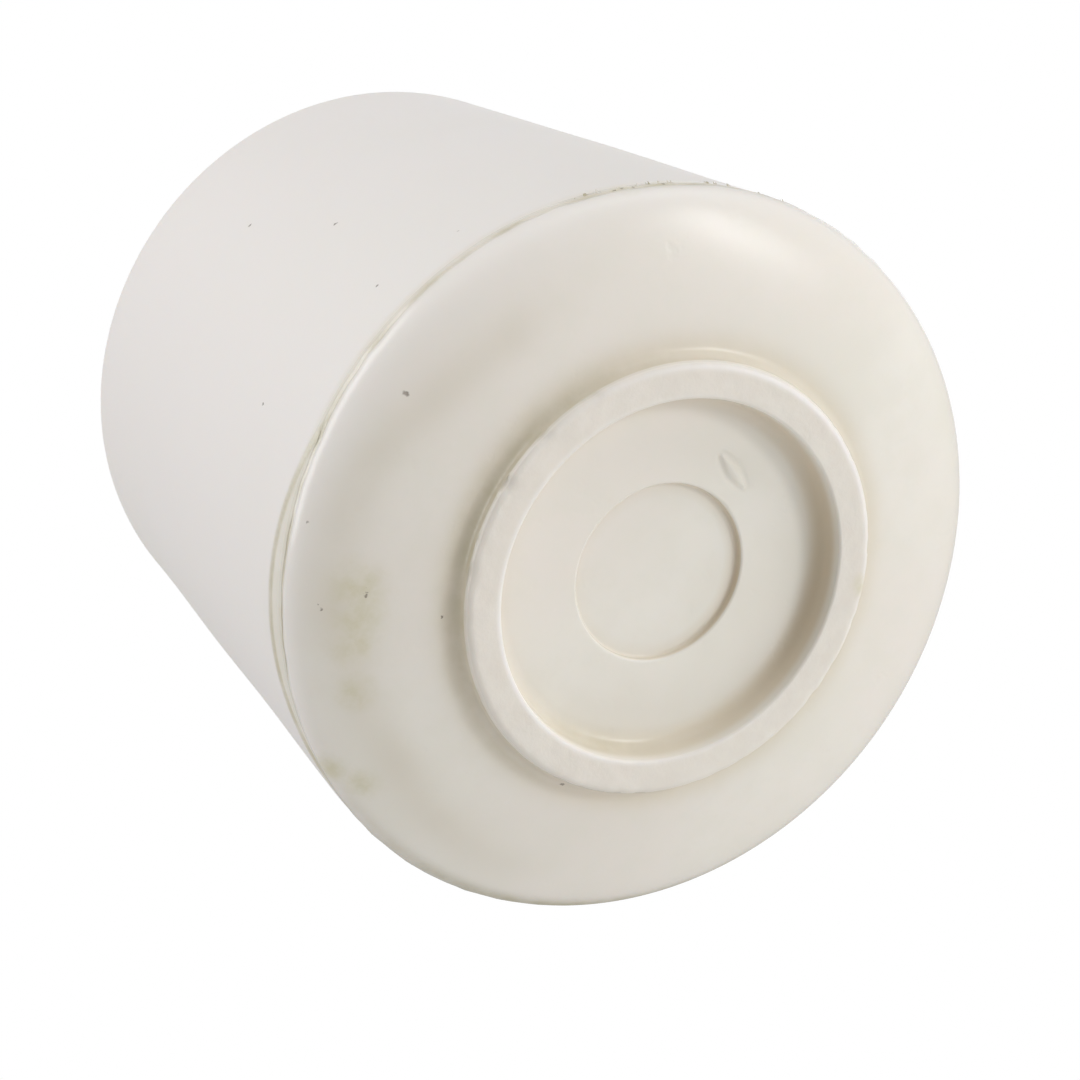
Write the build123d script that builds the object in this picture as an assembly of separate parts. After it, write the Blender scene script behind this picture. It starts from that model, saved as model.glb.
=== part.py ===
from build123d import *
import os
from math import acos, degrees, sqrt

# Slip-on rubber tip for the end of a 22 mm (7/8 in) rod or leg: a tapered sleeve on a
# domed base with a raised tread ring, and a steel washer trapped under the socket.
# Frame: +Z runs up the socket towards its mouth, and the tread ring stands on z = 0.

# Socket and sleeve, millimetres
socket_radius = 11.1
socket_depth = 24.45        # from the mouth down to the lip that holds the washer
lead_in = 0.7               # chamfer inside the mouth
mouth_wall = 3.55           # thickness of the sleeve at its open end
mouth_edge_radius = 0.9     # rounding of the open end's outer edge
base_flare = 2.35           # how much further out the base reaches than the mouth

# Groove left by the mould's parting line, just above the widest circle
groove_depth = 0.22
groove_width = 0.36

# Base
web_thickness = 5.6         # rubber between the recess floor and the washer
crease_height = 3.75        # from the ground up to the widest circle
dome_half_width = 13.8      # long radius of the ellipse that the dome follows
valley_radius = 0.6         # soft corner where the dome meets the ring

# Raised tread ring
ring_outer_radius = 9.95
ring_width = 1.55
ring_height = 0.84          # how far the ring stands out of the dome
ring_wall_draft = 0.1       # how much wider the ring is at its foot than at its tread
ring_edge_radius = 0.3

# Round recess inside the ring, and the shallow circle at its centre
recess_depth = 1.35
recess_wall_draft = 0.25
recess_corner_radius = 0.7
centre_radius = 4.1
centre_depth = 0.35
centre_corner_radius = 0.15

# Short raised tick on the recess floor
tick_length = 2.3
tick_width = 0.65
tick_height = 0.2
tick_root = 0.3             # how deep the tick's root runs into the floor
tick_distance = 5.5         # from the axis, along +X
tick_turn = 104.0           # degrees from +X to the tick's long side

# Washer, and the pocket behind the socket wall that traps it
washer_thickness = 1.6
washer_hole_radius = 4.0
washer_edge_radius = 0.3
lip_overhang = 0.8          # how far the pocket runs out behind the socket wall
washer_side_clearance = 0.1
washer_head_clearance = 0.2

pocket_floor = recess_depth + web_thickness
pocket_roof = pocket_floor + washer_thickness + washer_head_clearance
pocket_radius = socket_radius + lip_overhang
tip_height = pocket_roof + socket_depth
mouth_radius = socket_radius + mouth_wall
base_radius = mouth_radius + base_flare
recess_radius = ring_outer_radius - ring_width
ring_foot_radius = ring_outer_radius + ring_wall_draft
dome_centre_radius = base_radius - dome_half_width


def sleeve_radius(height):
    """Outside radius of the sleeve, which tapers straight from crease to mouth."""
    climb = (height - crease_height) / (tip_height - crease_height)
    return base_radius + (mouth_radius - base_radius) * climb


def tread_profile():
    """From the axis over the centre circle, the recess and the ring, to the dome."""
    return FilletPolyline(
        (0, recess_depth + centre_depth),
        (centre_radius, recess_depth + centre_depth),
        (centre_radius, recess_depth),
        (recess_radius - recess_wall_draft, recess_depth),
        (recess_radius, 0),
        (ring_outer_radius, 0),
        (ring_foot_radius, ring_height),
        radius=[
            centre_corner_radius,
            centre_corner_radius,
            recess_corner_radius,
            ring_edge_radius,
            ring_edge_radius,
        ],
    )


def dome_profile():
    """Elliptical arc from the widest circle in to the foot of the ring."""
    across = (ring_foot_radius - dome_centre_radius) / dome_half_width
    short_radius = (crease_height - ring_height) / sqrt(1 - across**2)
    return EllipticalCenterArc(
        (dome_centre_radius, crease_height),
        dome_half_width,
        short_radius,
        start_angle=0,
        arc_size=-degrees(acos(across)),
    )


def sleeve_profile():
    """From the widest circle past the parting groove, up to the mouth's inner edge."""
    groove_top = crease_height + groove_width
    return FilletPolyline(
        (base_radius, crease_height),
        (base_radius - groove_depth, crease_height + groove_width / 2),
        (sleeve_radius(groove_top), groove_top),
        (mouth_radius, tip_height),
        (socket_radius + lead_in, tip_height),
        radius=[groove_depth / 4, groove_depth / 4, mouth_edge_radius],
    )


def socket_profile():
    """From the mouth's inner edge down the socket, round the pocket, to the axis."""
    return Polyline(
        (socket_radius + lead_in, tip_height),
        (socket_radius, tip_height - lead_in),
        (socket_radius, pocket_roof),
        (pocket_radius, pocket_roof),
        (pocket_radius, pocket_floor),
        (0, pocket_floor),
        (0, recess_depth + centre_depth),
    )


def tick():
    """Low bar with round ends that stands out of the recess floor."""
    outline = Pos(tick_distance, 0) * Rot(0, 0, tick_turn) * SlotOverall(tick_length, tick_width)
    return Pos(0, 0, recess_depth + tick_root) * extrude(outline, -(tick_root + tick_height))


def rubber_tip():
    """One moulding: sleeve, domed base, tread ring and the washer's pocket."""
    outline = Wire(
        [
            *tread_profile().edges(),
            *dome_profile().edges(),
            *sleeve_profile().edges(),
            *socket_profile().edges(),
        ]
    )
    body = revolve(Plane.XZ * make_face(outline), Axis.Z)
    ring_foot = (ring_foot_radius, 0, ring_height)
    valley = body.edges().sort_by_distance(ring_foot)[0]
    return fillet(valley, valley_radius) + tick()


def steel_washer():
    """Flat round washer with rounded edges, lying on the pocket's floor."""
    outer_radius = pocket_radius - washer_side_clearance
    width = outer_radius - washer_hole_radius
    middle_radius = washer_hole_radius + width / 2
    middle_height = pocket_floor + washer_thickness / 2
    section = RectangleRounded(width, washer_thickness, washer_edge_radius)
    return revolve(Plane.XZ * Pos(middle_radius, middle_height) * section, Axis.Z)


os.makedirs("parts", exist_ok=True)
export_step(rubber_tip(), "parts/rubber_tip.step")
export_step(steel_washer(), "parts/steel_washer.step")
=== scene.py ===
import math

import bpy
import numpy as np
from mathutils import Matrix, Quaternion, Vector


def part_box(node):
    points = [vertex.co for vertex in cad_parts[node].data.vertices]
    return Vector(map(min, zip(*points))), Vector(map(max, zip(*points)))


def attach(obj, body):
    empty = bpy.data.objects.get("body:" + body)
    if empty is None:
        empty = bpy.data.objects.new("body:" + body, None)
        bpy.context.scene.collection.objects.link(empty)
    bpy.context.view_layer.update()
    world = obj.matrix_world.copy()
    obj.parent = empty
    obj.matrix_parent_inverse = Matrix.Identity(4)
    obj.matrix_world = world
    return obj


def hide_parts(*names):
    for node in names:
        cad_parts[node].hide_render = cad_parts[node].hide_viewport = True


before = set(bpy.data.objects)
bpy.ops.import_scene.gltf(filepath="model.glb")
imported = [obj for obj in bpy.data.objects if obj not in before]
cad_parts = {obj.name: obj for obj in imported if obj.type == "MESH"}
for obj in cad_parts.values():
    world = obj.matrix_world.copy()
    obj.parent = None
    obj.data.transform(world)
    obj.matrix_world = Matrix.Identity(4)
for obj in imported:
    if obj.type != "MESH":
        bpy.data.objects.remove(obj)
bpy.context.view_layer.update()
print("frame loaded:", ", ".join(sorted(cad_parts)))

mm = 0.001
fullTurn = 2 * math.pi


def surfaceMesh(name, rings, ends):
    # rings is a grid of points: the second index runs round a closed ring, the first
    # from ring to ring. ends says how the first index closes: "poles" where the first
    # and last ring are single points, "loop" where the last ring meets the first,
    # "caps" where one flat face closes each end.
    ringCount, around, _ = rings.shape
    j = np.arange(around)
    jNext = (j + 1) % around
    if ends == "poles":
        points = np.vstack([rings[:1, 0], rings[1:-1].reshape(-1, 3), rings[-1:, 0]])
        first = 1 + around * np.arange(ringCount - 2)
        near, far = first[:-1, None], first[1:, None]
    else:
        points = rings.reshape(-1, 3)
        first = around * np.arange(ringCount)
        near, far = first[:-1, None], first[1:, None]
        if ends == "loop":
            near, far = first[:, None], np.roll(first, -1)[:, None]
    quads = np.stack([near + j, near + jNext, far + jNext, far + j], -1).reshape(-1, 4)
    faces = quads.tolist()
    if ends == "poles":
        last = len(points) - 1
        faces += np.stack([0 * j, 1 + jNext, 1 + j], -1).tolist()
        faces += np.stack([first[-1] + j, first[-1] + jNext, 0 * j + last], -1).tolist()
    if ends == "caps":
        faces += [(first[0] + j[::-1]).tolist(), (first[-1] + j).tolist()]
    mesh = bpy.data.meshes.new(name)
    mesh.from_pydata((points * mm).tolist(), [], faces)
    mesh.shade_smooth()
    mesh.update()
    piece = bpy.data.objects.new(name, mesh)
    bpy.context.scene.collection.objects.link(piece)
    return piece


def paintPoints(piece, name, values):
    # One number per grid point, kept on the mesh for the material to read. A grid whose
    # ends are poles has one point in place of each end ring.
    flat = values.reshape(-1)
    if len(flat) != len(piece.data.vertices):
        flat = np.concatenate([values[:1, 0], values[1:-1].reshape(-1), values[-1:, 0]])
    layer = piece.data.attributes.new(name, "FLOAT", "POINT")
    layer.data.foreach_set("value", flat.astype(np.float32))


def roundedRun(corners, steps):
    # A path of (radius, height) points through corners given as (radius, height,
    # rounding): straight runs, each divided into its own number of steps, and at every
    # rounded corner the arc that touches both runs.
    spots = np.array([c[:2] for c in corners], float)
    cut = np.zeros(len(corners))
    arcs = {}
    for i in range(1, len(corners) - 1):
        rounding = corners[i][2]
        before = (spots[i] - spots[i - 1]) / np.linalg.norm(spots[i] - spots[i - 1])
        after = (spots[i + 1] - spots[i]) / np.linalg.norm(spots[i + 1] - spots[i])
        turn = math.atan2(before[0] * after[1] - before[1] * after[0], before @ after)
        if rounding == 0:
            continue
        cut[i] = rounding * math.tan(abs(turn) / 2)
        side = math.copysign(1, turn)
        centre = spots[i] - before * cut[i] + side * rounding * np.array([-before[1], before[0]])
        swing = np.linspace(0, turn, max(3, round(abs(turn) / 0.2)) + 1)[:, None]
        arm = -side * rounding * np.array([-before[1], before[0]])
        crossArm = np.array([-arm[1], arm[0]])
        arcs[i] = centre + np.cos(swing) * arm + np.sin(swing) * crossArm
    path = [spots[:1]]
    for i in range(len(corners) - 1):
        along = (spots[i + 1] - spots[i]) / np.linalg.norm(spots[i + 1] - spots[i])
        start, stop = spots[i] + along * cut[i], spots[i + 1] - along * cut[i + 1]
        share = np.linspace(0, 1, steps[i] + 1)[1:, None]
        path.append(start + (stop - start) * share)
        if i + 1 in arcs:
            path.append(arcs[i + 1][1:])
    return np.vstack(path)


def pathNormals(path):
    # Unit normals of a (radius, height) path, to the right of its direction of travel.
    run = np.gradient(path, axis=0)
    run /= np.maximum(np.linalg.norm(run, axis=1, keepdims=True), 1e-12)
    return np.stack([run[:, 1], -run[:, 0]], -1)


def spin(path, offset, angle):
    # Turns a (radius, height) path about the axis: each point moves out along the path's
    # own normal by offset, a grid over path and angle, and then round by angle.
    normals = pathNormals(path)
    radius = np.maximum(path[:, :1] + offset * normals[:, :1], 0)
    height = path[:, 1:] + offset * normals[:, 1:]
    return np.stack([radius * np.cos(angle), radius * np.sin(angle), height], -1)


def ripple(angle, seed, lowest, highest):
    # A curve that closes on itself after one turn: the sum of whole-number waves from
    # lowest to highest per turn, with random phases, scaled to a spread of one.
    chance = np.random.default_rng(seed)
    waves = np.arange(lowest, highest + 1)
    phases = chance.uniform(0, fullTurn, len(waves))
    total = np.cos(np.multiply.outer(angle, waves) + phases).sum(-1)
    return total / math.sqrt(len(waves) / 2)


def grain(along, angle, seed, count, fastest, tightest):
    # Uneven ground over the path and the turn: count waves, each with its own number of
    # turns up to fastest and its own wavelength along the path down to tightest.
    chance = np.random.default_rng(seed)
    total = np.zeros((len(along), len(angle)))
    for _ in range(count):
        wave = chance.integers(-fastest, fastest + 1)
        pace = chance.uniform(-1, 1) * fullTurn / tightest
        phase = chance.uniform(0, fullTurn)
        total += np.cos(pace * along[:, None] + wave * angle[None, :] + phase)
    return total / math.sqrt(count / 2)


def smoothStep(low, high, value):
    # 0 below low, 1 above high, and a smooth rise between.
    share = np.clip((value - low) / (high - low), 0, 1)
    return share * share * (3 - 2 * share)


def bump(value, centre, width):
    # A bell of height one at centre.
    return np.exp(-(((value - centre) / width) ** 2))


def angleFrom(angle, bearing):
    # Signed turn in degrees from a bearing, between -180 and 180.
    return (np.degrees(angle) - bearing + 180) % 360 - 180


def side(angle, place):
    # A bell over the turn: one at the place's bearing, falling over its spread.
    bearing, spread = place
    return bump(angleFrom(angle, bearing), 0, spread)


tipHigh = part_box("rubber_tip")[1]
washerLow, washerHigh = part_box("steel_washer")

tip = {  # millimetres
    "around": 360,
    "baseRadius": tipHigh.x / mm,
    "height": tipHigh.z / mm,
    "mouthRadius": 14.65,
    "mouthRounding": 0.9,
    "creaseHeight": 3.75,
    "grooveDepth": 0.09,
    "grooveWidth": 0.3,
    "sag": 0.3,
    "sagBearing": -36,
    "sagReach": 17,
    "domeHalfWidth": 13.8,
    "ringOuter": 9.95,
    "ringInner": 8.4,
    "ringFoot": 10.05,
    "ringHeight": 0.84,
    "ringEdge": 0.34,
    "ringInnerEdge": 0.16,
    "valleyRounding": 0.6,
    "recessDepth": 1.35,
    "recessDraft": 0.25,
    "recessRounding": 0.7,
    "centreRadius": 4.1,
    "centreDepth": 0.35,
    "centreRounding": 0.15,
    "socketRadius": 11.1,
    "leadIn": 0.7,
    "pocketRadius": washerHigh.x / mm + 0.1,
    "pocketFloor": washerLow.z / mm,
    "pocketRoof": washerHigh.z / mm + 0.2,
}

tick = {"distance": 5.5, "turn": 104, "length": 2.3, "halfWidth": 0.3, "height": 0.13, "moat": 0.03}

facet = {  # the band beside the crease where flash was trimmed off
    "bearing": -133,
    "reach": 34,
    "rise": 1.5,
    "depth": 0.1,
}

wear = {  # unevenness in millimetres, and the (bearing, spread) in degrees of the rubbed side
    "ringTop": 0.004,
    "ringEdge": 0.018,
    "rubbedSide": (-85, 32),
    "rubbedGain": 3,
    "crease": 0.04,
    "wall": 0.02,
}

# dirt, painted shade, painted light and painted highlights on the tip
soilingAndShading = {  # sides as (bearing, spread) in degrees, the ends in degrees of the band of stains and painted shade, its radius, its width and the rim's depth in millimetres, strengths as shares, (even, patchy) where paired
    # width and the rim's depth in millimetres, strengths as shares, (even, patchy) where paired
    # dirt and painted shade round the ring's foot and the recess, and a painted shadow under the crease
    "dirtyAndShadedSide": (-118, 62),
    "darkSide": (-98, 50),
    "undersideShadowSide": (150, 40),
    "farRecess": (162, 24),
    # painted warm shade on the walls, painted light on the rim, painted highlights on the ring's edges
    "shadedWalls": (60, 75),
    "deepRim": (-70, 50),
    "innerEdgeHighlight": (-150, 80),
    "outerEdgeHighlight": (0, 70),
    "foot": (0.1, 0.24),
    "footCore": 0.3,
    "undersideShadow": 0.8,
    "recessDirtAndShade": 0.35,
    "crease": (0.3, 0.2),
    "facetLine": 0.5,
    "inFacet": 0.14,
    "footShade": 0.3,
    "recessShade": 0.75,
    "centreShade": 0.6,
    "leastShade": 0.3,
    "rim": 0.9,
    "rimDepth": (1.2, 1.2),
    "bareFacet": 0.8,
    "mattWall": 0.22,
    "mattRing": 0.4,
    # the band of stains and painted shade on the dome
    "smokeAndShadeRadius": 14.7,
    "smokeAndShadeWander": 0.5,
    "smokeAndShadeWidth": 1.0,
    "smokeAndShadeStrength": (0.85, 0.15),
    "smokeAndShadeStart": (-205, -185),
    "smokeAndShadeEnd": (-75, -50),
}


def domeCurve(shape, steps):
    # Quarter of an ellipse from the widest circle in towards the ring: the height falls
    # as the square root of one less the squared share of the half width.
    middle = shape["baseRadius"] - shape["domeHalfWidth"]
    across = (shape["ringFoot"] - middle) / shape["domeHalfWidth"]
    fall = (shape["creaseHeight"] - shape["ringHeight"]) / math.sqrt(1 - across**2)
    eccentric = np.linspace(math.acos(across), 0, steps)
    radius = middle + shape["domeHalfWidth"] * np.cos(eccentric)
    return np.stack([radius, shape["creaseHeight"] - fall * np.sin(eccentric)], -1)


def valleyCurve(shape, dome):
    # The arc that a ball leaves when it is rolled into the corner between ring and dome:
    # its centre is one rounding out from the ring and as high as the dome lets it lie.
    ball = shape["valleyRounding"]
    centreRadius = shape["ringFoot"] + ball
    gap = dome[:, 0] - centreRadius
    under = np.abs(gap) < ball
    heights = dome[under, 1] - np.sqrt(ball**2 - gap[under] ** 2)
    touch = np.argmin(heights)
    centreHeight = heights[touch]
    contact = dome[under][touch]
    stop = math.atan2(contact[1] - centreHeight, contact[0] - centreRadius)
    swing = np.linspace(math.pi, stop, 12)
    arc = np.stack([centreRadius + ball * np.cos(swing), centreHeight + ball * np.sin(swing)], -1)
    return arc, contact[0]


def tipPath(shape):
    # The outline of half a section, from the axis under the base, out over the tread and
    # the dome, up the sleeve, over the mouth and down the socket to the axis again.
    dome = domeCurve(shape, 4000)
    valley, valleyEnd = valleyCurve(shape, dome)
    recessFoot = shape["ringInner"] - shape["recessDraft"]
    centreFloor = shape["recessDepth"] + shape["centreDepth"]
    tread = roundedRun(
        [
            (0, centreFloor, 0),
            (shape["centreRadius"], centreFloor, shape["centreRounding"]),
            (shape["centreRadius"], shape["recessDepth"], shape["centreRounding"]),
            (recessFoot, shape["recessDepth"], shape["recessRounding"]),
            (shape["ringInner"], 0, shape["ringInnerEdge"]),
            (shape["ringOuter"], 0, shape["ringEdge"]),
            (shape["ringFoot"], valley[0, 1], 0),
        ],
        [7, 2, 44, 5, 9, 3],
    )
    domePart = dome[dome[:, 0] > valleyEnd]
    even = np.linspace(0, 1, 46) ** 0.9
    reach = np.concatenate([[0], np.cumsum(np.linalg.norm(np.diff(domePart, axis=0), axis=1))])
    domePart = np.stack([np.interp(even * reach[-1], reach, domePart[:, k]) for k in (0, 1)], -1)
    grooveTop = shape["creaseHeight"] + shape["grooveWidth"]
    facetTop = shape["creaseHeight"] + facet["rise"] * 1.25
    sleeve = roundedRun(
        [
            (shape["baseRadius"], shape["creaseHeight"], 0),
            (shape["baseRadius"] - shape["grooveDepth"], (shape["creaseHeight"] + grooveTop) / 2, 0.05),
            (sleeveRadius(shape, grooveTop), grooveTop, 0.05),
            (sleeveRadius(shape, facetTop), facetTop, 0),
            (shape["mouthRadius"], shape["height"], shape["mouthRounding"]),
            (shape["socketRadius"] + shape["leadIn"], shape["height"], 0.12),
            (shape["socketRadius"], shape["height"] - shape["leadIn"], 0.12),
            (shape["socketRadius"], shape["pocketRoof"], 0.1),
            (shape["pocketRadius"], shape["pocketRoof"], 0.05),
            (shape["pocketRadius"], shape["pocketFloor"], 0.05),
            (0, shape["pocketFloor"], 0),
        ],
        [3, 3, 26, 26, 5, 3, 14, 2, 3, 6],
    )
    return np.vstack([tread, valley[1:], domePart[1:], sleeve[1:]])


def sleeveRadius(shape, height):
    # The sleeve narrows straight from the widest circle to the mouth.
    climb = (height - shape["creaseHeight"]) / (shape["height"] - shape["creaseHeight"])
    return shape["baseRadius"] + (shape["mouthRadius"] - shape["baseRadius"]) * climb


def tickRelief(shape, path, angle):
    # A lens with a ridge along it: the height falls as the square of the distance across,
    # to nothing at a half width that itself falls towards both ends, with a shallow moat
    # just outside.
    x = path[:, :1] * np.cos(angle) - shape["distance"]
    y = path[:, :1] * np.sin(angle)
    turn = math.radians(shape["turn"])
    along = x * math.cos(turn) + y * math.sin(turn)
    across = np.abs(y * math.cos(turn) - x * math.sin(turn))
    ends = np.clip(1 - (2 * along / shape["length"]) ** 2, 0, 1)
    half = shape["halfWidth"] * ends + 1e-6
    ridge = shape["height"] * np.clip(1 - (across / half) ** 2, 0, 1) * np.sqrt(ends)
    moat = shape["moat"] * bump(across, half + 0.1, 0.1) * (ends > 0)
    return ridge - moat


def facetRelief(shape, cutBand, path, angle):
    # The trimmed band: above the crease its height is greatest at one bearing and falls
    # to nothing as the square of the turn from there; within it the wall is set in by
    # an even depth, with a thin line along its top.
    away = angleFrom(angle, cutBand["bearing"]) / cutBand["reach"]
    top = cutBand["rise"] * np.clip(1 - away**2, 0, 1)
    up = path[:, 1:] - shape["creaseHeight"] - shape["grooveWidth"] / 2
    onWall = (path[:, :1] > shape["mouthRadius"]) & (up > -0.2)
    inside = (1 - smoothStep(-0.06, 0.06, up - top)) * (top > 0.05) * onWall
    line = bump(up, top, 0.15) * smoothStep(0.05, 0.5, top) * onWall
    return -cutBand["depth"] * inside * smoothStep(0.05, 0.5, top), inside, line


def creaseSag(shape, angle):
    # How far the crease dips towards the tread: a bell over the turn.
    return shape["sag"] * side(angle, (shape["sagBearing"], shape["sagReach"]))


def tipZones(shape, path, reach):
    # Where each feature lies along the path, as shares between nothing and one.
    radius, height = path[:, :1], path[:, 1:]
    outside = (reach[:, None] < reach[np.argmax(height[:, 0])]) * 1.0
    grooveMiddle = shape["creaseHeight"] + shape["grooveWidth"] / 2
    onRing = smoothStep(shape["ringInner"] - 0.05, shape["ringInner"] + 0.2, radius)
    onRing = onRing * (height < 0.12) * (radius < shape["ringFoot"])
    onFloor = (height > 0.5) * (height < 2) * (radius < shape["ringInner"] - 0.6) * outside
    onDome = smoothStep(shape["ringFoot"] + 0.5, shape["ringFoot"] + 1.5, radius)
    besideCrease = bump(height, shape["creaseHeight"], 1.1) * (radius > shape["ringFoot"] + 3)
    return {
        "outside": outside,
        "ring": onRing,
        "floor": onFloor * (radius > shape["centreRadius"] + 0.25),
        "crease": bump(height, grooveMiddle, 0.3) * (radius > shape["mouthRadius"]) * outside,
        "besideCrease": besideCrease * outside,
        "wall": smoothStep(grooveMiddle + 0.3, grooveMiddle + 1, height) * outside,
        "dome": onDome * (height < shape["creaseHeight"]) * outside,
    }


def makeTip(shape):
    # The outline turned about the axis, with every point moved a little along the
    # outline's normal by the wear, the tick and the trimmed band.
    angle = np.arange(shape["around"]) / shape["around"] * fullTurn
    path = tipPath(shape)
    reach = np.concatenate([[0], np.cumsum(np.linalg.norm(np.diff(path, axis=0), axis=1))])
    radius, height = path[:, :1], path[:, 1:]
    zones = tipZones(shape, path, reach)
    offset = zones["ring"] * wear["ringTop"] * grain(reach, angle, 3, 40, 60, 0.6)
    edge = bump(radius, shape["ringOuter"], 0.25) * (height < 0.3)
    rubbed = 1 + wear["rubbedGain"] * side(angle, wear["rubbedSide"])
    offset = offset - edge * wear["ringEdge"] * rubbed * np.clip(ripple(angle, 5, 8, 70), 0, 2)
    ragged = 0.5 * ripple(angle, 11, 20, 90) + 0.3 * ripple(angle, 12, 3, 12)
    offset = offset + zones["crease"] * wear["crease"] * ragged
    uneven = grain(reach, angle, 7, 14, 4, 14)
    offset = offset + (zones["wall"] + zones["dome"]) * wear["wall"] * uneven
    offset = offset + zones["floor"] * tickRelief(tick, path, angle)
    sunk, inFacet, facetLine = facetRelief(shape, facet, path, angle)
    rings = spin(path, offset + sunk, angle)
    rings[..., 2] -= zones["besideCrease"] * creaseSag(shape, angle)
    piece = surfaceMesh("rubberTip", rings, "poles")
    paintTip(piece, shape, soilingAndShading, path, angle, zones, inFacet, facetLine)
    return piece


def paintTip(piece, shape, soilAndShade, path, angle, zones, inFacet, facetLine):
    # Dirt, painted shade, bloom, painted light and wear, each a number per point: bells round the
    # corners where it gathers, times bells over the turn on the sides where there is most of it.
    radius, height = path[:, :1], path[:, 1:]
    outside = zones["outside"]
    foot = bump(radius, shape["ringFoot"] + 0.25, 0.75) * (height > 0.3) * (height < 1.6) * outside
    footCore = bump(radius, shape["ringFoot"] + 0.05, 0.22) * (height > 0.2) * (height < 1.6)
    footCore = footCore * outside
    recessCorner = bump(radius, shape["ringInner"] - 0.3, 0.5) * smoothStep(0.15, 0.6, height)
    recessCorner = recessCorner * (height < 2) * (radius < shape["ringInner"] + 0.2) * outside
    centreCorner = bump(radius, shape["centreRadius"], 0.2) * (height > 1.4) * (height < 2) * outside
    # painted shadow on the dome just under the crease, on the far side
    undersideShadow = smoothStep(shape["creaseHeight"] - 1.2, shape["creaseHeight"] - 0.6, height) * outside
    undersideShadow = undersideShadow * side(angle, soilAndShade["undersideShadowSide"]) * (height < shape["creaseHeight"] + 0.3)
    # dirt and painted shade: darker round the ring's foot, most on one side, with a painted dark line
    # along its core; a painted shadow under the crease on the far side; darker in the recess corner,
    # along the crease and on the trimmed band
    evenCrease, patchyCrease = soilAndShade["crease"]
    evenFoot, dirtyAndShadedFoot = soilAndShade["foot"]
    darkening = foot * (evenFoot + dirtyAndShadedFoot * side(angle, soilAndShade["dirtyAndShadedSide"]))
    darkening = darkening + soilAndShade["footCore"] * footCore * side(angle, soilAndShade["darkSide"])
    darkening = darkening + soilAndShade["undersideShadow"] * undersideShadow
    darkening = darkening + soilAndShade["recessDirtAndShade"] * recessCorner * side(angle, soilAndShade["farRecess"])
    darkening = darkening + zones["crease"] * (evenCrease + patchyCrease * ripple(angle, 21, 6, 60))
    darkening = darkening + soilAndShade["facetLine"] * facetLine + soilAndShade["inFacet"] * inFacet
    paintPoints(piece, "grimeAndShade", np.clip(darkening, 0, 1))
    # painted warm shade on the ring's foot and on the walls that face away
    least = soilAndShade["leastShade"]
    shaded = least + (1 - least) * side(angle, soilAndShade["shadedWalls"])
    walls = (soilAndShade["recessShade"] * recessCorner + soilAndShade["centreShade"] * centreCorner) * shaded
    paintPoints(piece, "deep", np.clip(soilAndShade["footShade"] * foot + walls, 0, 1))
    # the worn tread; the pale bloom on the sleeve; on the dome's rim, bloom with painted light, widest
    # on one side; and painted highlights along the ring's edges
    paintPoints(piece, "tread", np.clip(zones["ring"] + 0 * angle, 0, 1))
    evenRim, deeperRim = soilAndShade["rimDepth"]
    rimStart = shape["creaseHeight"] - evenRim - deeperRim * side(angle, soilAndShade["deepRim"])
    rim = soilAndShade["rim"] * smoothStep(rimStart, shape["creaseHeight"] - 0.1, height) * zones["dome"]
    # painted highlights along the ring's inner and outer edges, each on one side
    innerEdgeHighlight = bump(radius, shape["ringInner"] + 0.1, 0.12) * side(angle, soilAndShade["innerEdgeHighlight"])
    outerEdgeHighlight = bump(radius, shape["ringOuter"] - 0.12, 0.14) * side(angle, soilAndShade["outerEdgeHighlight"])
    edgeHighlights = np.clip(innerEdgeHighlight + outerEdgeHighlight, 0, 1) * (height < 0.2)
    bloomAndHighlight = np.clip(zones["wall"] + rim + edgeHighlights, 0, 1) * (1 - soilAndShade["bareFacet"] * inFacet)
    paintPoints(piece, "chalkAndHighlight", bloomAndHighlight)
    matt = soilAndShade["mattWall"] * zones["wall"] + soilAndShade["mattRing"] * zones["ring"]
    paintPoints(piece, "matt", np.clip(matt + 0 * angle, 0, 1))
    # a brownish band round part of the dome: painted shade, with stains
    turned = np.degrees(angle) % 360 - 360
    sootyAndShaded = smoothStep(*soilAndShade["smokeAndShadeStart"], turned) * (1 - smoothStep(*soilAndShade["smokeAndShadeEnd"], turned))
    middle = soilAndShade["smokeAndShadeRadius"] + soilAndShade["smokeAndShadeWander"] * ripple(angle, 23, 1, 5)
    smokeAndShade = bump(radius, middle, soilAndShade["smokeAndShadeWidth"]) * sootyAndShaded * zones["dome"]
    evenSmokeAndShade, patchySmokeAndShade = soilAndShade["smokeAndShadeStrength"]
    smokeAndShade = smokeAndShade * (evenSmokeAndShade + patchySmokeAndShade * ripple(angle, 24, 4, 24))
    paintPoints(piece, "smokeAndShade", np.clip(smokeAndShade, 0, 1))


flash = {  # millimetres and degrees
    "from": -58,
    "to": -8,
    "steps": 900,
    "height": 0.3,
    "thickness": 0.08,
    "rootDepth": 0.3,
    "lean": 60,
}


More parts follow.
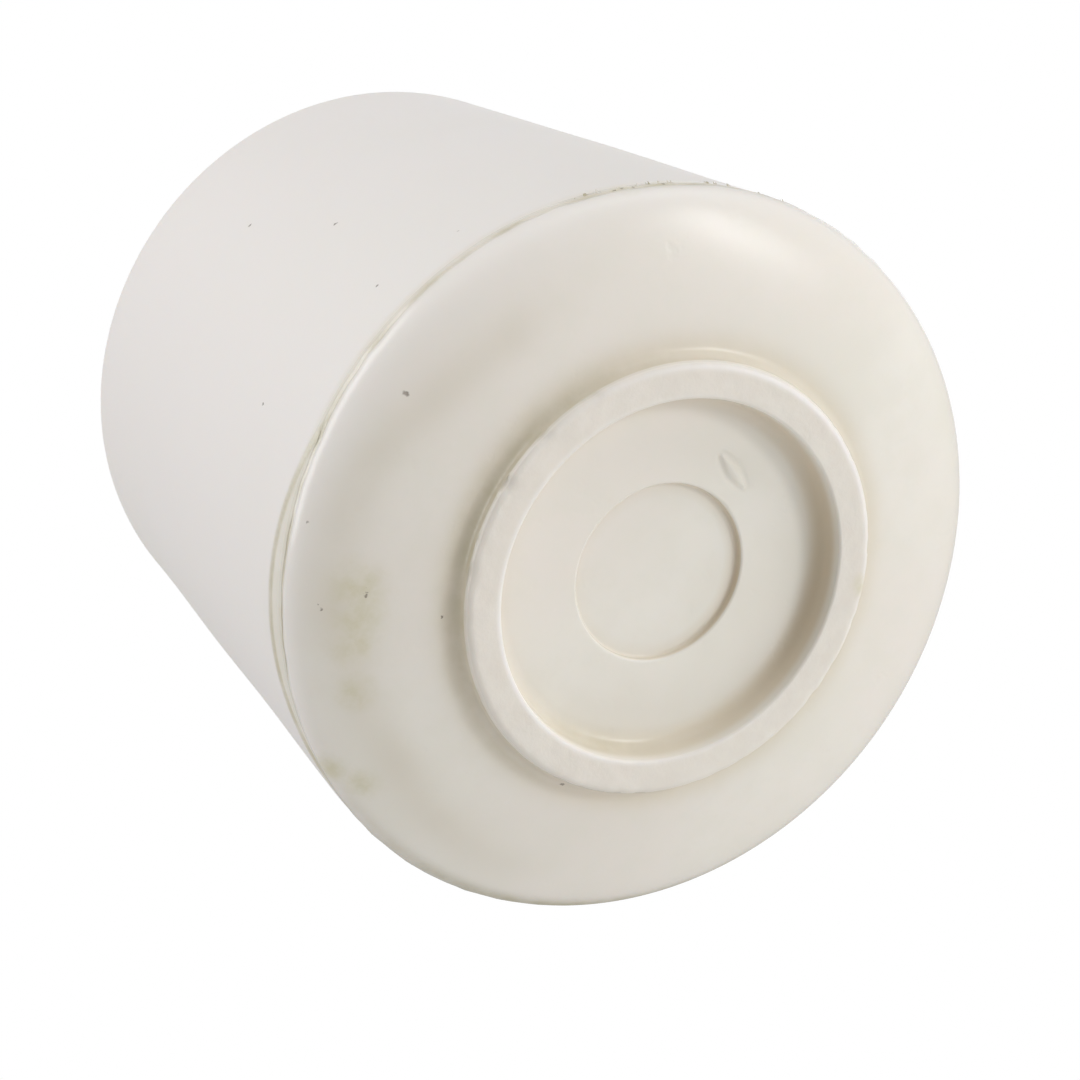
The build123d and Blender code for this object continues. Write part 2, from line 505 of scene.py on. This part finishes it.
def makeFlash(fin, shape):
    # A thin fin carried along the crease: its section is a narrow closed loop, and its
    # height varies along the crease with coarse and fine waves, down to nothing at both
    # ends.
    share = np.linspace(0, 1, fin["steps"])
    angle = np.radians(fin["from"] + (fin["to"] - fin["from"]) * share)
    ends = smoothStep(0, 0.15, share) * (1 - smoothStep(0.85, 1, share))
    ragged = 0.5 + 0.35 * ripple(angle * 6, 31, 4, 40) + 0.2 * ripple(angle * 30, 32, 5, 30)
    tall = fin["height"] * ends * np.clip(ragged, 0.05, 1.6)
    lean = math.radians(fin["lean"])
    outward = np.array([math.cos(lean), math.sin(lean)])
    sideways = np.array([-outward[1], outward[0]])
    loop = np.linspace(0, fullTurn, 10, endpoint=False)
    lengthwise, widthwise = np.cos(loop), np.sin(loop)
    thin = fin["thickness"] / 2 * (1 - 0.5 * np.clip(lengthwise, 0, 1))
    root = np.array([shape["baseRadius"] - fin["rootDepth"], shape["creaseHeight"]])
    reach = (lengthwise + 1) / 2 * (fin["rootDepth"] + tall[:, None])
    section = root + reach[..., None] * outward + (thin * widthwise)[None, :, None] * sideways
    turned = angle[:, None]
    rise = section[..., 1] - creaseSag(shape, turned)
    rings = np.stack([section[..., 0] * np.cos(turned), section[..., 0] * np.sin(turned), rise], -1)
    piece = surfaceMesh("partingFlash", rings[:, ::-1], "caps")
    darkening = np.clip(0.45 + 0.5 * ripple(angle * 10, 33, 3, 30), 0, 1)[:, None] + 0 * reach
    paintPoints(piece, "grimeAndShade", darkening)
    for name in ("tread", "chalkAndHighlight", "deep", "matt", "smokeAndShade"):
        paintPoints(piece, name, 0 * reach)
    return piece


washer = {  # millimetres
    "around": 180,
    "hole": 4.0,
    "dieRoll": 0.34,
    "edge": 0.12,
    "unevenness": 0.01,
}


def makeWasher(shape):
    # A stamped ring: the punch leaves a soft edge on top and a sharper one below.
    outer = washerHigh.x / mm
    low, high = washerLow.z / mm, washerHigh.z / mm
    middle = (outer + shape["hole"]) / 2
    path = roundedRun(
        [
            (middle, low, 0),
            (outer, low, shape["edge"]),
            (outer, high, shape["dieRoll"]),
            (shape["hole"], high, shape["dieRoll"]),
            (shape["hole"], low, shape["edge"]),
            (middle, low, 0),
        ],
        [5, 3, 12, 3, 5],
    )[:-1]
    angle = np.arange(shape["around"]) / shape["around"] * fullTurn
    top = smoothStep(high - 0.05, high, path[:, 1:])
    offset = -shape["unevenness"] * top * (1 + grain(path[:, 0], angle, 41, 12, 5, 6))
    return surfaceMesh("washerRing", spin(path, offset, angle), "loop")


def startMaterial(name):
    # A new material with one surface shader joined to its output.
    material = bpy.data.materials.new(name)
    material.use_nodes = True
    nodes = material.node_tree.nodes
    nodes.clear()
    output = nodes.new("ShaderNodeOutputMaterial")
    shader = nodes.new("ShaderNodeBsdfPrincipled")
    material.node_tree.links.new(shader.outputs["BSDF"], output.inputs["Surface"])
    return material, nodes, material.node_tree.links, shader


def objectPoint(nodes):
    # The point on the piece in its own metres.
    return nodes.new("ShaderNodeTexCoord").outputs["Object"]


def noiseAt(nodes, links, point, scale, detail=3.0, rough=0.55):
    # Cloudy noise between nothing and one, with so many clouds to the metre.
    noise = nodes.new("ShaderNodeTexNoise")
    noise.inputs["Scale"].default_value = scale
    noise.inputs["Detail"].default_value = detail
    noise.inputs["Roughness"].default_value = rough
    links.new(point, noise.inputs["Vector"])
    return noise.outputs["Fac"]


def remap(nodes, links, value, fromLow, fromHigh, toLow, toHigh):
    # One range eased into another along an S curve, flat beyond both ends.
    node = nodes.new("ShaderNodeMapRange")
    node.interpolation_type = "SMOOTHSTEP"
    links.new(value, node.inputs["Value"])
    ends = {"From Min": fromLow, "From Max": fromHigh, "To Min": toLow, "To Max": toHigh}
    for socket, amount in ends.items():
        node.inputs[socket].default_value = amount
    return node.outputs["Result"]


def painted(nodes, name):
    # The number that was painted on the piece's points under this name.
    node = nodes.new("ShaderNodeAttribute")
    node.attribute_name = name
    return node.outputs["Fac"]


def calc(nodes, links, operation, first, second):
    # One sum on two values, such as their product or the larger of them.
    node = nodes.new("ShaderNodeMath")
    node.operation = operation
    links.new(first, node.inputs[0])
    links.new(second, node.inputs[1])
    return node.outputs["Value"]


def blendColour(nodes, links, share, first, second):
    # The first colour where the share is nothing, the second where it is one.
    node = nodes.new("ShaderNodeMix")
    node.data_type = "RGBA"
    links.new(share, node.inputs["Factor"])
    colourSockets = [socket for socket in node.inputs if socket.type == "RGBA"]
    for socket, value in zip(colourSockets, (first, second)):
        if isinstance(value, tuple):
            socket.default_value = (*value, 1)
        else:
            links.new(value, socket)
    return [s for s in node.outputs if s.type == "RGBA"][0]


def addBump(nodes, links, height, strength, distance, before=None):
    # A surface tilted as if the height stood out by the distance, on top of an earlier tilt.
    node = nodes.new("ShaderNodeBump")
    node.inputs["Strength"].default_value = strength
    node.inputs["Distance"].default_value = distance
    links.new(height, node.inputs["Height"])
    if before is not None:
        links.new(before, node.inputs["Normal"])
    return node.outputs["Normal"]


rubber = {
    "cream": (0.83, 0.79, 0.715),
    "creamDark": (0.795, 0.755, 0.67),
    "creamWarm": (0.825, 0.765, 0.695),
    # pale bloom colours, also used for painted light on the rim and painted highlights on the ring's
    # edges
    "chalkAndHighlight": (0.865, 0.82, 0.79),
    "chalkAndHighlightDull": (0.85, 0.81, 0.77),
    "tread": (0.765, 0.71, 0.635),
    # painted warm shade
    "deep": (0.68, 0.555, 0.375),
    # painted shade with stains, for the band on the dome
    "smokeAndShade": (0.70, 0.64, 0.54),
    # dirt and painted shade for the corners
    "grimeAndShade": (0.46, 0.41, 0.24),
    "stain": (0.63, 0.58, 0.38),
    "speck": (0.14, 0.10, 0.07),
    "mottleScale": 140,
    "poreScale": 2600,
    "markWobble": 0.00034,
    "wobbleScale": 4200,
    "gloss": (0.21, 0.26),
    "seeThrough": 0.12,
    "depth": (0.0016, 0.0011, 0.0007),
    "refraction": 1.5,
    "crumbScale": 900,
    "blotchScale": 700,
    "scuffScale": 1700,
    "dentScale": 620,
    "poreBump": (0.06, 0.00004),
    "dentBump": (0.3, 0.00003),
    "scuffBump": (0.35, 0.00008),
}

marks = {  # bearing in degrees; radius, height and size in millimetres
    "specks": [
        (-90.9, 15.3, 2.14, 0.19),
        (-130.6, 10.9, 0.97, 0.1),
        (168.7, 10.3, 0.88, 0.12),
        (-74.7, 16.06, 15.6, 0.12),
        (-104.8, 16.4, 11.1, 0.1),
        (-82.3, 15.47, 22.9, 0.12),
        (-66.2, 16.75, 6.85, 0.1),
        (-80.2, 16.69, 7.6, 0.08),
        (-128.0, 15.8, 2.4, 0.11),
        (-127.2, 15.9, 2.45, 0.07),
        (-125.6, 14.0, 1.66, 0.11),
        (-124.8, 14.05, 1.7, 0.09),
        (-124.0, 14.1, 1.7, 0.06),
        (-115.0, 16.6, 3.0, 0.1),
        (-43.4, 17.0, 3.75, 0.14),
        (-41.6, 17.0, 3.75, 0.1),
        (-44.6, 17.0, 3.75, 0.09),
        (-36.6, 17.0, 3.75, 0.15),
    ],
    "stains": [
        (-124.2, 14.4, 1.8, 1.9),
        (-129.5, 14.4, 1.8, 1.7),
        (-134.5, 14.5, 1.8, 1.6),
        (-143.0, 14.8, 1.9, 1.3),
        (-155.8, 16.7, 3.1, 1.1),
        (-160.0, 16.0, 2.5, 1.2),
        (60.0, 9.75, 0.0, 0.8),
        (-36.5, 17.0, 3.75, 0.8),
        (-43.0, 17.0, 3.75, 0.9),
    ],
}


def markSpots(nodes, links, point, spots, edge):
    # The share of a round mark at each point: one at its middle, nothing past its edge.
    # Each mark is first moved onto the nearest point of the tip's outline.
    outline = tipPath(tip)
    total = None
    for bearing, radius, height, size in spots:
        turn = math.radians(bearing)
        radius, height = outline[np.argmin(np.hypot(outline[:, 0] - radius, outline[:, 1] - height))]
        node = nodes.new("ShaderNodeVectorMath")
        node.operation = "DISTANCE"
        links.new(point, node.inputs[0])
        spot = (radius * math.cos(turn) * mm, radius * math.sin(turn) * mm, height * mm)
        node.inputs[1].default_value = spot
        share = remap(nodes, links, node.outputs["Value"], size * mm * edge, size * mm, 1, 0)
        total = share if total is None else calc(nodes, links, "MAXIMUM", total, share)
    return total


def rubberFinish(look):
    # Moulded off-white rubber: soft mottling, a paler bloom on the sleeve, a matt worn
    # tread, dirt with painted shade in the corners, painted warm shade on the walls that
    # face away, a band of painted shade with stains on the dome, painted light on the rim,
    # painted highlights on the ring's edges, a few dark specks and faint yellow stains.
    material, nodes, links, shader = startMaterial("offWhiteRubber")
    point = objectPoint(nodes)
    mottle = noiseAt(nodes, links, point, look["mottleScale"], 2)
    patch = noiseAt(nodes, links, point, look["mottleScale"] * 0.35, 2)
    fine = noiseAt(nodes, links, point, look["poreScale"], 4, 0.6)
    darker = remap(nodes, links, mottle, 0.35, 0.65, 0, 1)
    colour = blendColour(nodes, links, darker, look["cream"], look["creamDark"])
    warmer = remap(nodes, links, patch, 0.4, 0.6, 0, 0.8)
    colour = blendColour(nodes, links, warmer, colour, look["creamWarm"])
    rubbed = noiseAt(nodes, links, point, look["mottleScale"] * 4, 4, 0.65)
    handled = remap(nodes, links, rubbed, 0.4, 0.7, 0, 0.5)
    colour = blendColour(nodes, links, handled, colour, look["creamDark"])
    uneven = remap(nodes, links, rubbed, 0.35, 0.65, 0.55, 1)
    worn = calc(nodes, links, "MULTIPLY", painted(nodes, "tread"), uneven)
    colour = blendColour(nodes, links, worn, colour, look["tread"])
    # the sleeve's pale bloom, painted light on the dome's rim and painted highlights on the ring's
    # edges
    cloudy = remap(nodes, links, patch, 0.35, 0.65, 0, 1)
    bloomAndHighlight = blendColour(nodes, links, cloudy, look["chalkAndHighlight"], look["chalkAndHighlightDull"])
    colour = blendColour(nodes, links, painted(nodes, "chalkAndHighlight"), colour, bloomAndHighlight)
    # painted warm shade on the ring's foot and the walls that face away
    colour = blendColour(nodes, links, painted(nodes, "deep"), colour, look["deep"])
    # a band of painted shade with stains on the dome
    wisps = remap(nodes, links, mottle, 0.3, 0.6, 0.4, 0.65)
    smokeAndShade = calc(nodes, links, "MULTIPLY", painted(nodes, "smokeAndShade"), wisps)
    colour = blendColour(nodes, links, smokeAndShade, colour, look["smokeAndShade"])
    # dirt and painted shade in the corners, broken up by crumbly noise
    crumb = noiseAt(nodes, links, point, look["crumbScale"], 3)
    crumbs = remap(nodes, links, crumb, 0.3, 0.65, 0.6, 0.95)
    darkening = calc(nodes, links, "MULTIPLY", painted(nodes, "grimeAndShade"), crumbs)
    colour = blendColour(nodes, links, darkening, colour, look["grimeAndShade"])
    bent = nodes.new("ShaderNodeVectorMath")
    bent.operation = "MULTIPLY_ADD"
    wobble = nodes.new("ShaderNodeTexNoise")
    wobble.inputs["Scale"].default_value = look["wobbleScale"]
    links.new(point, wobble.inputs["Vector"])
    centred = nodes.new("ShaderNodeVectorMath")
    centred.operation = "SUBTRACT"
    links.new(wobble.outputs["Color"], centred.inputs[0])
    centred.inputs[1].default_value = (0.5, 0.5, 0.5)
    links.new(centred.outputs["Vector"], bent.inputs[0])
    bent.inputs[1].default_value = (look["markWobble"],) * 3
    links.new(point, bent.inputs[2])
    blotch = noiseAt(nodes, links, point, look["blotchScale"], 4, 0.65)
    stain = markSpots(nodes, links, bent.outputs["Vector"], marks["stains"], 0.0)
    stain = calc(nodes, links, "MULTIPLY", stain, remap(nodes, links, blotch, 0.36, 0.64, 0.25, 0.65))
    colour = blendColour(nodes, links, stain, colour, look["stain"])
    speck = markSpots(nodes, links, bent.outputs["Vector"], marks["specks"], 0.45)
    speck = calc(nodes, links, "MULTIPLY", speck, remap(nodes, links, blotch, 0.4, 0.6, 0.45, 0.8))
    colour = blendColour(nodes, links, speck, colour, look["speck"])
    links.new(colour, shader.inputs["Base Color"])
    rough = remap(nodes, links, patch, 0.3, 0.7, *look["gloss"])
    rough = calc(nodes, links, "ADD", rough, painted(nodes, "matt"))
    links.new(rough, shader.inputs["Roughness"])
    scuff = noiseAt(nodes, links, point, look["scuffScale"], 5, 0.7)
    tread = calc(nodes, links, "MULTIPLY", painted(nodes, "tread"), scuff)
    normal = addBump(nodes, links, fine, *look["poreBump"])
    dent = noiseAt(nodes, links, point, look["dentScale"], 3)
    dents = remap(nodes, links, dent, 0.6, 0.74, 1, 0)
    normal = addBump(nodes, links, dents, *look["dentBump"], normal)
    normal = addBump(nodes, links, tread, *look["scuffBump"], normal)
    links.new(normal, shader.inputs["Normal"])
    shader.inputs["Subsurface Weight"].default_value = look["seeThrough"]
    shader.inputs["Subsurface Radius"].default_value = look["depth"]
    shader.inputs["Subsurface Scale"].default_value = 1
    shader.inputs["IOR"].default_value = look["refraction"]
    return material


zinc = {
    "bright": (0.62, 0.62, 0.61),
    "dull": (0.55, 0.55, 0.54),
    "gloss": (0.3, 0.42),
    "patchScale": 420,
    "scratchScale": 1800,
    "scratchStretch": (0.08, 1, 1),
    "scratchTurn": 0.5,
    "scratchBump": (0.25, 0.00003),
}


def zincFinish(look):
    # Tumbled zinc plating: cloudy patches, fine scratches one way, an uneven shine.
    material, nodes, links, shader = startMaterial("zincPlating")
    point = objectPoint(nodes)
    cloud = noiseAt(nodes, links, point, look["patchScale"], 5, 0.65)
    clouded = remap(nodes, links, cloud, 0.35, 0.65, 0, 1)
    colour = blendColour(nodes, links, clouded, look["bright"], look["dull"])
    links.new(colour, shader.inputs["Base Color"])
    links.new(remap(nodes, links, cloud, 0.3, 0.7, *look["gloss"]), shader.inputs["Roughness"])
    stretch = nodes.new("ShaderNodeMapping")
    stretch.inputs["Scale"].default_value = look["scratchStretch"]
    stretch.inputs["Rotation"].default_value = (0, 0, look["scratchTurn"])
    links.new(point, stretch.inputs["Vector"])
    scratch = noiseAt(nodes, links, stretch.outputs["Vector"], look["scratchScale"], 4, 0.6)
    links.new(addBump(nodes, links, scratch, *look["scratchBump"]), shader.inputs["Normal"])
    shader.inputs["Metallic"].default_value = 1
    return material


rubberSkin = rubberFinish(rubber)
zincSkin = zincFinish(zinc)

tipPiece = makeTip(tip)
flashPiece = makeFlash(flash, tip)
washerPiece = makeWasher(washer)
for piece, skin, slot in (
    (tipPiece, rubberSkin, "rubber"),
    (flashPiece, rubberSkin, "rubber"),
    (washerPiece, zincSkin, "washer"),
):
    piece.data.materials.append(skin)
    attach(piece, "root")
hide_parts("rubber_tip")
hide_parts("steel_washer")
for piece in (tipPiece, flashPiece, washerPiece):
    print("piece made:", piece.name, len(piece.data.polygons), "faces")


studio = {
    "floorSize": 8,
    "floorColour": (0.86, 0.86, 0.86),
    # colour, strength and range of the painted shadow on the floor round the tread
    "shadeColour": (0.30, 0.29, 0.28),
    "shade": 0.72,
    "shadeFrom": (0.009, 0.030),
    "fadeFrom": (0.10, 0.60),
    "skySeen": 1.0,
    "skyLight": 0.36,
    "aim": (0, 0, 0.012),
}

softBoxes = {  # bearing and elevation in degrees, distance and size in metres
    "streak": {"from": (17, -43), "distance": 0.40, "size": (0.14, 0.06), "watts": 0.28},
    "rightHigh": {"from": (45, -20), "distance": 0.50, "size": (0.40, 0.30), "watts": 0.50},
    "rightLow": {"from": (50, -60), "distance": 0.50, "size": (0.40, 0.40), "watts": 0.83},
    "left": {"from": (-105, 18), "distance": 0.50, "size": (0.55, 0.28), "watts": 1.70},
    "top": {"from": (70, 60), "distance": 0.60, "size": (0.50, 0.50), "watts": 0.50},
    "far": {"from": (150, -20), "distance": 0.50, "size": (0.40, 0.30), "watts": 0.66},
    "near": {"from": (-20, -15), "distance": 0.50, "size": (0.40, 0.20), "watts": 0.66},
}
coolTint = (0.975, 0.99, 1.0)


def makeFloor(look):
    # A plain pale sheet under the tread. It is one-sided: from below it isn't there, and
    # it takes shadows without throwing any. Close round the tread its colour is darkened
    # by a painted shadow, and far out it fades to the even white of the sky.
    half = look["floorSize"] / 2
    mesh = bpy.data.meshes.new("floor")
    corners = [(-half, -half, 0), (half, -half, 0), (half, half, 0), (-half, half, 0)]
    mesh.from_pydata(corners, [], [(0, 1, 2, 3)])
    floor = bpy.data.objects.new("floor", mesh)
    bpy.context.scene.collection.objects.link(floor)
    material, nodes, links, shader = startMaterial("paleFloor")
    away = nodes.new("ShaderNodeVectorMath")
    away.operation = "LENGTH"
    links.new(objectPoint(nodes), away.inputs[0])
    # painted shadow: the floor's colour darkens towards the tread
    close = remap(nodes, links, away.outputs["Value"], *look["shadeFrom"], look["shade"], 0)
    colour = blendColour(nodes, links, close, look["floorColour"], look["shadeColour"])
    links.new(colour, shader.inputs["Base Color"])
    shader.inputs["Roughness"].default_value = 0.9
    glow = nodes.new("ShaderNodeEmission")
    seen = nodes.new("ShaderNodeLightPath").outputs["Is Camera Ray"]
    strength = remap(nodes, links, seen, 0, 1, look["skyLight"], look["skySeen"])
    links.new(strength, glow.inputs["Strength"])
    fade = nodes.new("ShaderNodeMixShader")
    links.new(remap(nodes, links, away.outputs["Value"], *look["fadeFrom"], 0, 1), fade.inputs["Fac"])
    links.new(shader.outputs["BSDF"], fade.inputs[1])
    links.new(glow.outputs["Emission"], fade.inputs[2])
    clear = nodes.new("ShaderNodeBsdfTransparent")
    either = nodes.new("ShaderNodeMixShader")
    side = nodes.new("ShaderNodeNewGeometry")
    links.new(side.outputs["Backfacing"], either.inputs["Fac"])
    links.new(fade.outputs["Shader"], either.inputs[1])
    links.new(clear.outputs["BSDF"], either.inputs[2])
    output = [n for n in nodes if n.type == "OUTPUT_MATERIAL"][0]
    links.new(either.outputs["Shader"], output.inputs["Surface"])
    mesh.materials.append(material)
    floor.visible_diffuse = False
    floor.visible_transmission = False
    floor.visible_shadow = False


def makeSky(look):
    # Even white all round, at one strength where it is seen and another where it lights.
    world = bpy.data.worlds.new("studio")
    bpy.context.scene.world = world
    world.use_nodes = True
    nodes, links = world.node_tree.nodes, world.node_tree.links
    nodes.clear()
    output = nodes.new("ShaderNodeOutputWorld")
    seen, light = nodes.new("ShaderNodeBackground"), nodes.new("ShaderNodeBackground")
    seen.inputs["Strength"].default_value = look["skySeen"]
    light.inputs["Strength"].default_value = look["skyLight"]
    for background in (seen, light):
        background.inputs["Color"].default_value = (1, 1, 1, 1)
    either = nodes.new("ShaderNodeMixShader")
    links.new(nodes.new("ShaderNodeLightPath").outputs["Is Camera Ray"], either.inputs["Fac"])
    links.new(light.outputs["Background"], either.inputs[1])
    links.new(seen.outputs["Background"], either.inputs[2])
    links.new(either.outputs["Shader"], output.inputs["Surface"])


def towards(bearing, elevation):
    # Unit vector at a bearing from +X about +Z and an elevation above the horizon.
    turn, rise = math.radians(bearing), math.radians(elevation)
    return Vector((math.cos(turn) * math.cos(rise), math.sin(turn) * math.cos(rise), math.sin(rise)))


def makeSoftBox(name, box):
    # A flat lamp that faces the aim from the given direction and isn't itself seen.
    light = bpy.data.lights.new(name, "AREA")
    light.shape = "RECTANGLE"
    light.size, light.size_y = box["size"]
    light.energy = box["watts"]
    light.color = coolTint
    holder = bpy.data.objects.new(name, light)
    bpy.context.scene.collection.objects.link(holder)
    direction = towards(*box["from"])
    holder.location = Vector(studio["aim"]) + direction * box["distance"]
    holder.rotation_mode = "QUATERNION"
    holder.rotation_quaternion = direction.to_track_quat("Z", "Y")
    holder.visible_camera = False


cameraPlace = {  # the camera looks up at the base from in front and below, turned on its side
    "aim": (-0.00192, 0.0009, 0.012),
    "distance": 0.1635,
    "elevation": -56.56,
    "roll": 54.2,
    "lens": 116.67,
}


def makeCamera(place):
    # Looks at its aim from its elevation and distance, then turns about its own axis by the roll.
    data = bpy.data.cameras.new("camera")
    data.lens = place["lens"]
    data.sensor_width = 36
    data.clip_start, data.clip_end = 0.005, 10
    camera = bpy.data.objects.new("camera", data)
    bpy.context.scene.collection.objects.link(camera)
    back = towards(-90, place["elevation"])
    camera.location = Vector(place["aim"]) + back * place["distance"]
    camera.rotation_mode = "QUATERNION"
    level = (-back).to_track_quat("-Z", "Y")
    camera.rotation_quaternion = level @ Quaternion((0, 0, 1), -math.radians(place["roll"]))
    bpy.context.scene.camera = camera


makeFloor(studio)
makeSky(studio)
for boxName, box in softBoxes.items():
    makeSoftBox(boxName, box)
makeCamera(cameraPlace)
bpy.context.scene.view_settings.view_transform = "Standard"
bpy.context.scene.view_settings.look = "None"
print("studio set")
